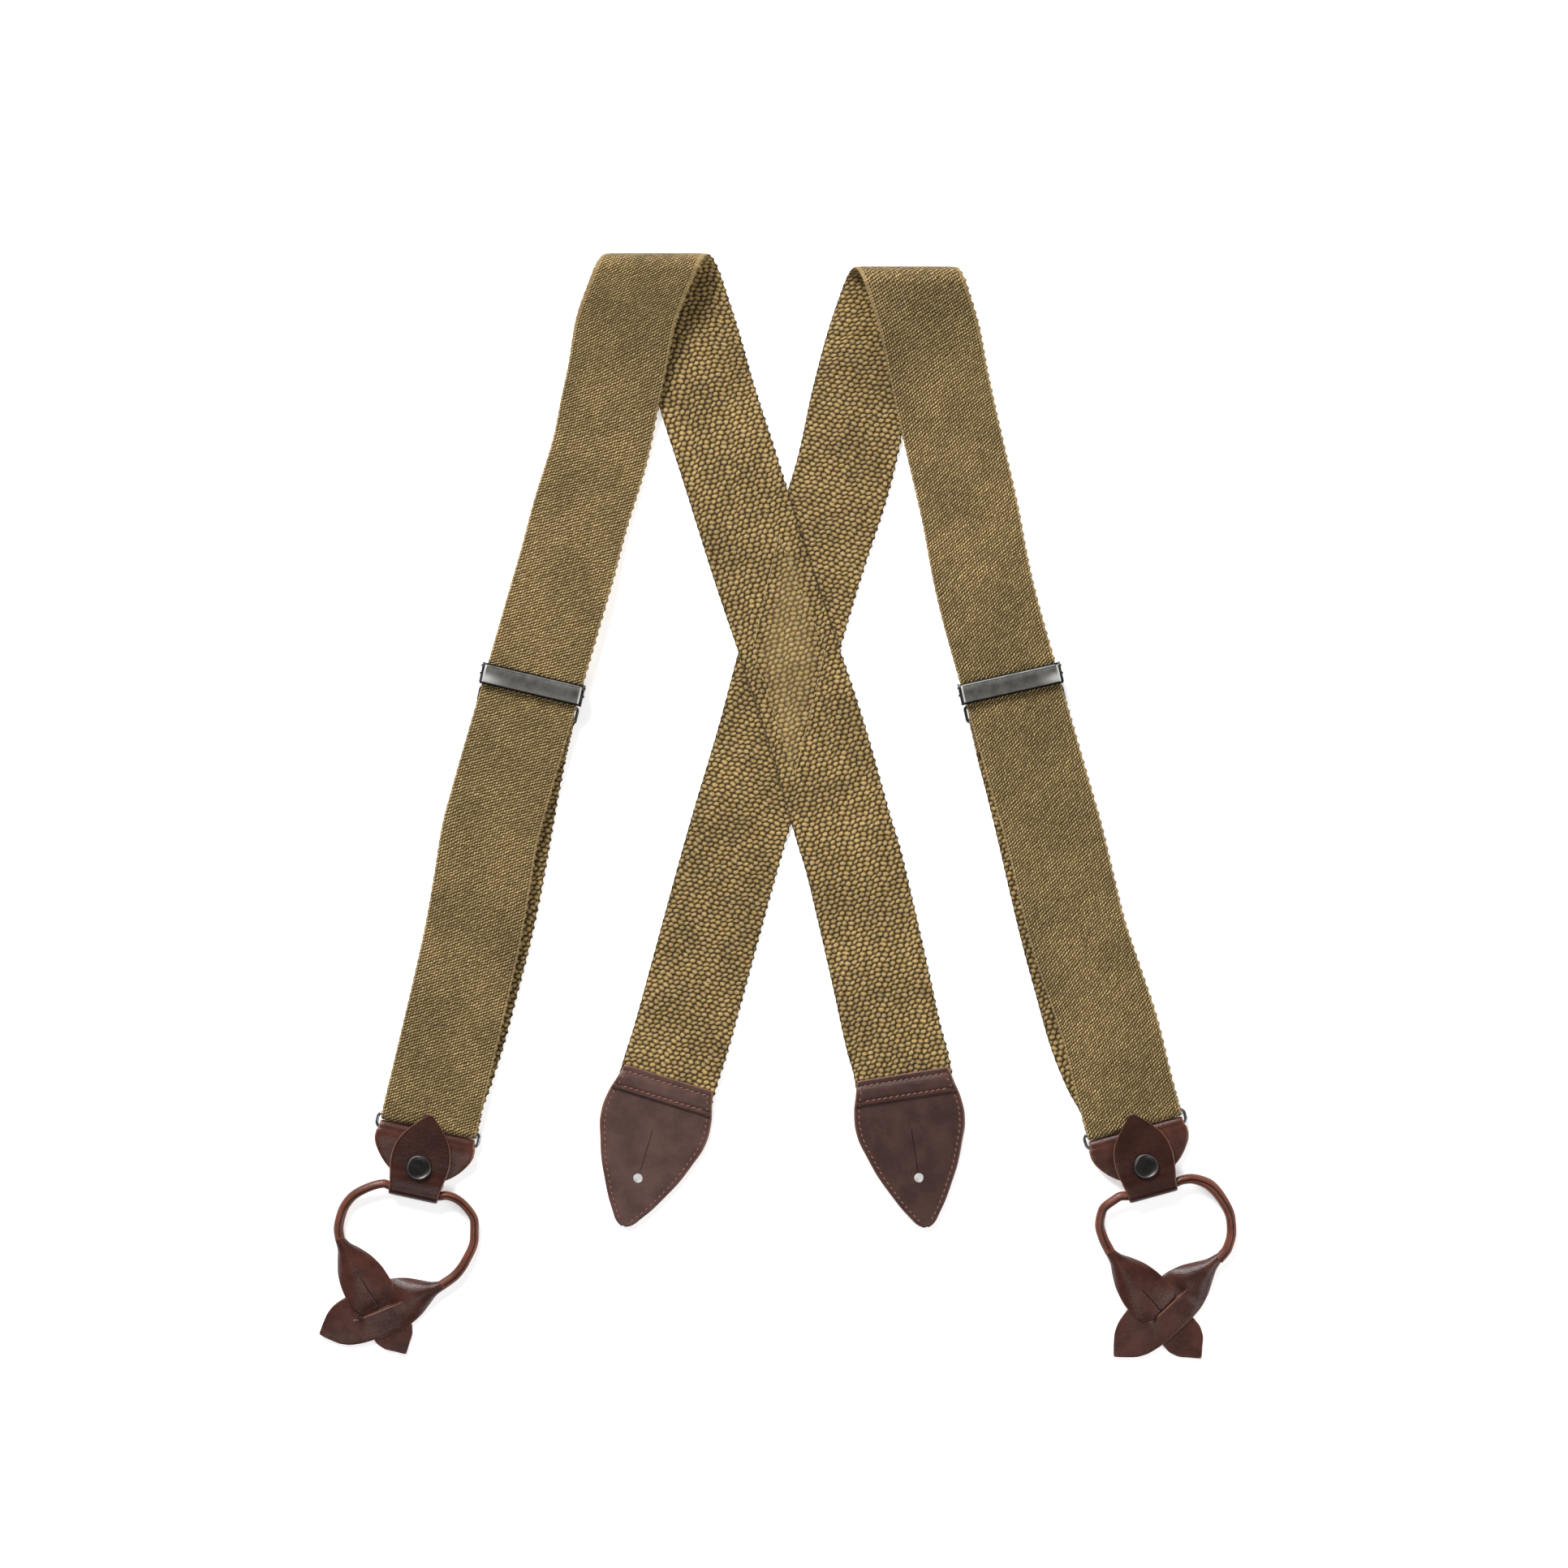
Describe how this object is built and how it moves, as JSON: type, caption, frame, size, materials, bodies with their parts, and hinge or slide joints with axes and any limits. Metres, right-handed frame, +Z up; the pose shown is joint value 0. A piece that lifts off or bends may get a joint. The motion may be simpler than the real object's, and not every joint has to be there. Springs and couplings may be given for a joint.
{
  "type": "suspenders",
  "caption": "Button-on X-back elastic suspenders with slide adjusters, snap-fastened leather yokes on wire rings, rolled leather button loops and stitched leather back tabs.",
  "frame": {"origin": "middle of the footprint on the ground plane, the part lying flat with the front faces up", "axes": "+X to the wearer's left as laid out (right of the picture), +Y from the buttons to the shoulders, +Z up"},
  "size_m": [0.3604, 0.4352, 0.014],
  "materials": {
    "webbing": "woven elastic, matte",
    "thread": "sewing thread",
    "leather": "smooth grain, low sheen",
    "rolled_leather": "smooth grain, low sheen",
    "leather_thread": "sewing thread",
    "gunmetal": "dark satin plating",
    "nickel": "dark nickel wire",
    "steel": "plain pin"
  },
  "bodies": {
    "webbing_set": {"left_webbing": "webbing", "left_webbing_front": "webbing", "left_webbing_return": "webbing", "left_tab_face": "leather", "left_tab_lining": "leather", "left_tab_stitching": "leather_thread", "right_webbing": "webbing", "right_webbing_front": "webbing", "right_webbing_return": "webbing", "right_tab_face": "leather", "right_tab_lining": "leather", "right_tab_stitching": "leather_thread", "crossing_stitching": "thread"},
    "left_adjuster": {"left_adjuster_frame": "gunmetal", "left_hinge_pin": "steel"},
    "left_cover": {"left_adjuster_cover": "gunmetal"},
    "left_wire": {"left_wire_loop": "gunmetal", "left_sewn_end": "webbing", "left_end_stitching": "thread"},
    "left_carriage": {"left_webbing_bight": "webbing"},
    "left_ring": {"left_oval_ring": "nickel"},
    "left_yoke_body": {"left_yoke": "leather", "left_snap_stud": "gunmetal", "left_snap_post": "gunmetal"},
    "left_tongue_body": {"left_tongue": "leather", "left_snap_cap": "gunmetal", "left_snap_socket": "gunmetal"},
    "left_loop": {"left_button_loop": "rolled_leather"},
    "right_adjuster": {"right_adjuster_frame": "gunmetal", "right_hinge_pin": "steel"},
    "right_cover": {"right_adjuster_cover": "gunmetal"},
    "right_wire": {"right_wire_loop": "gunmetal", "right_sewn_end": "webbing", "right_end_stitching": "thread"},
    "right_carriage": {"right_webbing_bight": "webbing"},
    "right_ring": {"right_oval_ring": "nickel"},
    "right_yoke_body": {"right_yoke": "leather", "right_snap_stud": "gunmetal", "right_snap_post": "gunmetal"},
    "right_tongue_body": {"right_tongue": "leather", "right_snap_cap": "gunmetal", "right_snap_socket": "gunmetal"},
    "right_loop": {"right_button_loop": "rolled_leather"}
  },
  "joints": [
    {"name": "left_adjuster_slide", "type": "slide", "parent": "webbing_set", "child": "left_adjuster", "axis": [0.279, 0.9603, 0], "range_m": [-0.04, 0.03], "deforming": ["left_webbing_front", "left_webbing_return"]},
    {"name": "left_cover_hinge", "type": "hinge", "parent": "left_adjuster", "child": "left_cover", "pos_m": [-0.09549, 0.05052, 0.008], "axis": [-0.9736, 0.2284, 0], "range_deg": [0, 95]},
    {"name": "left_wire_hinge", "type": "hinge", "parent": "left_adjuster", "child": "left_wire", "pos_m": [-0.09732, 0.04273, 0.0032], "axis": [0.9736, -0.2284, 0], "range_deg": [-3, 20]},
    {"name": "left_bight_slide", "type": "slide", "parent": "webbing_set", "child": "left_carriage", "axis": [0.279, 0.9603, 0], "range_m": [-0.02, 0.015]},
    {"name": "left_ring_hinge", "type": "hinge", "parent": "left_carriage", "child": "left_ring", "pos_m": [-0.13678, -0.12469, 0.00235], "axis": [0.9767, -0.2147, 0], "range_deg": [0, 90]},
    {"name": "left_yoke_hinge", "type": "hinge", "parent": "left_ring", "child": "left_yoke_body", "pos_m": [-0.13801, -0.13026, 0.00235], "axis": [0.9767, -0.2147, 0], "range_deg": [-3, 90]},
    {"name": "left_tongue_hinge", "type": "hinge", "parent": "left_yoke_body", "child": "left_tongue_body", "pos_m": [-0.14267, -0.15145, 0.00375], "axis": [0.9767, -0.2147, 0], "range_deg": [0, 150]},
    {"name": "left_loop_swivel", "type": "hinge", "parent": "left_yoke_body", "child": "left_loop", "pos_m": [-0.14267, -0.15145, 0.00375], "axis": [-0.9767, 0.2147, 0], "range_deg": [-90, 90]},
    {"name": "right_adjuster_slide", "type": "slide", "parent": "webbing_set", "child": "right_adjuster", "axis": [-0.2672, 0.9636, 0], "range_m": [-0.04, 0.03], "deforming": ["right_webbing_front", "right_webbing_return"]},
    {"name": "right_cover_hinge", "type": "hinge", "parent": "right_adjuster", "child": "right_cover", "pos_m": [0.09102, 0.05083, 0.008], "axis": [-0.9759, -0.2181, 0], "range_deg": [0, 95]},
    {"name": "right_wire_hinge", "type": "hinge", "parent": "right_adjuster", "child": "right_wire", "pos_m": [0.09277, 0.04302, 0.0032], "axis": [0.9759, 0.2181, 0], "range_deg": [-3, 20]},
    {"name": "right_bight_slide", "type": "slide", "parent": "webbing_set", "child": "right_carriage", "axis": [-0.2672, 0.9636, 0], "range_m": [-0.02, 0.015]},
    {"name": "right_ring_hinge", "type": "hinge", "parent": "right_carriage", "child": "right_ring", "pos_m": [0.14009, -0.12434, 0.00235], "axis": [0.9641, 0.2656, 0], "range_deg": [0, 90]},
    {"name": "right_yoke_hinge", "type": "hinge", "parent": "right_ring", "child": "right_yoke_body", "pos_m": [0.1416, -0.12983, 0.00235], "axis": [0.9641, 0.2656, 0], "range_deg": [-3, 90]},
    {"name": "right_tongue_hinge", "type": "hinge", "parent": "right_yoke_body", "child": "right_tongue_body", "pos_m": [0.14737, -0.15075, 0.00375], "axis": [0.9641, 0.2656, 0], "range_deg": [0, 150]},
    {"name": "right_loop_swivel", "type": "hinge", "parent": "right_yoke_body", "child": "right_loop", "pos_m": [0.14737, -0.15075, 0.00375], "axis": [-0.9641, -0.2656, 0], "range_deg": [-90, 90]}
  ],
  "couplings": [
    {"joint": "left_bight_slide", "follows": "left_adjuster_slide", "ratio": 0.5},
    {"joint": "right_bight_slide", "follows": "right_adjuster_slide", "ratio": 0.5}
  ]
}
